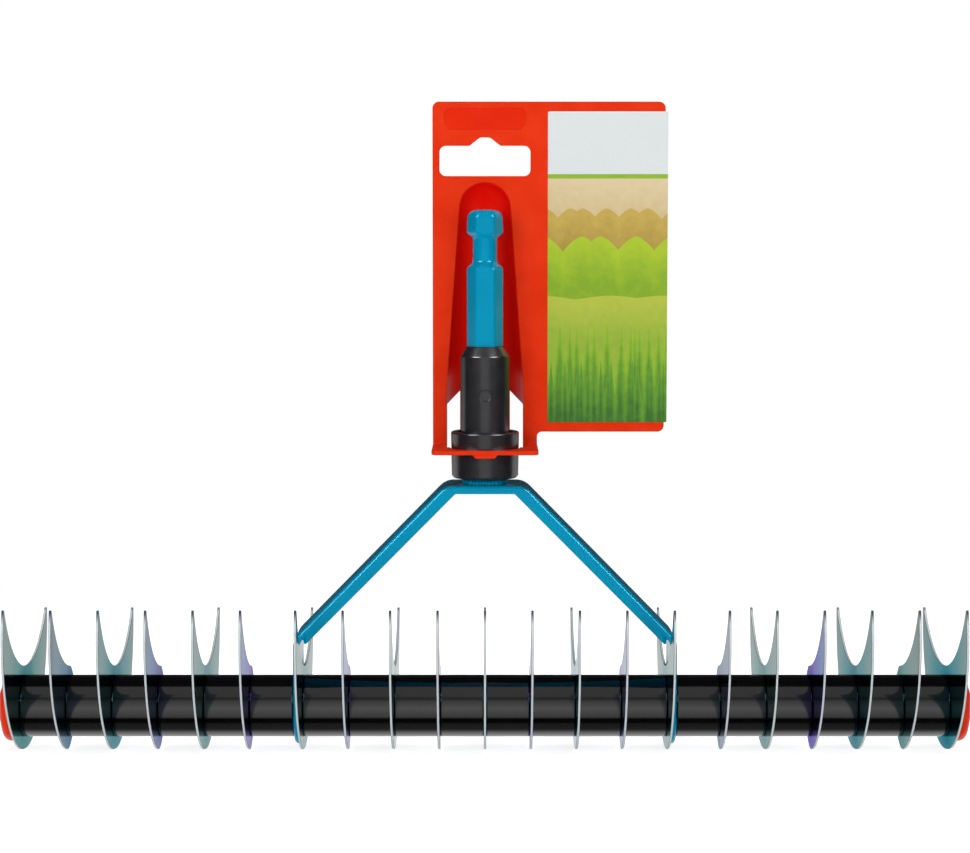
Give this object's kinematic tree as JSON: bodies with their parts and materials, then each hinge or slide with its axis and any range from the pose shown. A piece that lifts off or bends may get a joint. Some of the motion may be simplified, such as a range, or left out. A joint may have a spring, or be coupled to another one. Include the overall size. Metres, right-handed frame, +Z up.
{
  "type": "thatch rake head",
  "caption": "Clip-on thatch rake head: a row of crescent blades and spacers on a square axle, swinging in a bent steel yoke under a hexagon connector, with a slip-off hang tag.",
  "frame": {"origin": "on the connector's axis, level with the top of the stop collar that the handle comes down to", "axes": "+Z up along the connector towards the handle, X along the axle and the row of blades, -Y the front of the rake as the picture shows it"},
  "size_m": [0.5974, 0.1446, 0.3981],
  "materials": {
    "blue_paint": "gloss powder coat",
    "matt_black_plastic": "matt moulded",
    "gloss_black_plastic": "gloss moulded",
    "zinc_plated_steel": "bright zinc plate with a faint colour in it",
    "white_plastic": "plain moulded",
    "red_plastic": "satin to gloss moulded",
    "coated_card": "coated printed card"
  },
  "bodies": {
    "frame": {"yoke": "blue_paint", "connector_pin": "blue_paint", "weld_bead": "blue_paint", "stop_collar": "matt_black_plastic", "spigot_sleeve": "matt_black_plastic", "sleeve_pin": "matt_black_plastic"},
    "head": {"axle": "zinc_plated_steel", "pivot_bush_left": "white_plastic", "pivot_bush_right": "white_plastic", "end_washers": "zinc_plated_steel", "end_nuts": "zinc_plated_steel", "end_cap_left": "red_plastic", "end_cap_right": "red_plastic", "blade_01": "zinc_plated_steel", "blade_02": "zinc_plated_steel", "blade_03": "zinc_plated_steel", "blade_04": "zinc_plated_steel", "blade_05": "zinc_plated_steel", "blade_06": "zinc_plated_steel", "blade_07": "zinc_plated_steel", "blade_08": "zinc_plated_steel", "blade_09": "zinc_plated_steel", "blade_10": "zinc_plated_steel", "blade_11": "zinc_plated_steel", "blade_12": "zinc_plated_steel", "blade_13": "zinc_plated_steel", "blade_14": "zinc_plated_steel", "blade_15": "zinc_plated_steel", "blade_16": "zinc_plated_steel", "blade_17": "zinc_plated_steel", "blade_18": "zinc_plated_steel", "blade_19": "zinc_plated_steel", "blade_20": "zinc_plated_steel", "blade_21": "zinc_plated_steel", "spacer_01": "gloss_black_plastic", "spacer_02": "gloss_black_plastic", "spacer_03": "gloss_black_plastic", "spacer_04": "gloss_black_plastic", "spacer_05": "gloss_black_plastic", "spacer_06": "gloss_black_plastic", "spacer_07": "gloss_black_plastic", "spacer_08": "gloss_black_plastic", "spacer_09": "gloss_black_plastic", "spacer_10": "gloss_black_plastic", "spacer_11": "gloss_black_plastic", "spacer_12": "gloss_black_plastic", "spacer_13": "gloss_black_plastic", "spacer_14": "gloss_black_plastic", "spacer_15": "gloss_black_plastic", "spacer_16": "gloss_black_plastic", "spacer_17": "gloss_black_plastic", "spacer_18": "gloss_black_plastic", "spacer_19": "gloss_black_plastic", "spacer_20": "gloss_black_plastic"},
    "tag": {"hang_tag": "red_plastic", "label_card": "coated_card"}
  },
  "joints": [
    {"name": "head_swing", "type": "hinge", "parent": "frame", "child": "head", "pos_m": [0, 0, -0.17], "axis": [1, 0, 0], "range_deg": [-10.5, 27.5]},
    {"name": "tag_lift", "type": "slide", "parent": "frame", "child": "tag", "axis": [0, 0, 1], "range_m": [0, 0.165]}
  ]
}
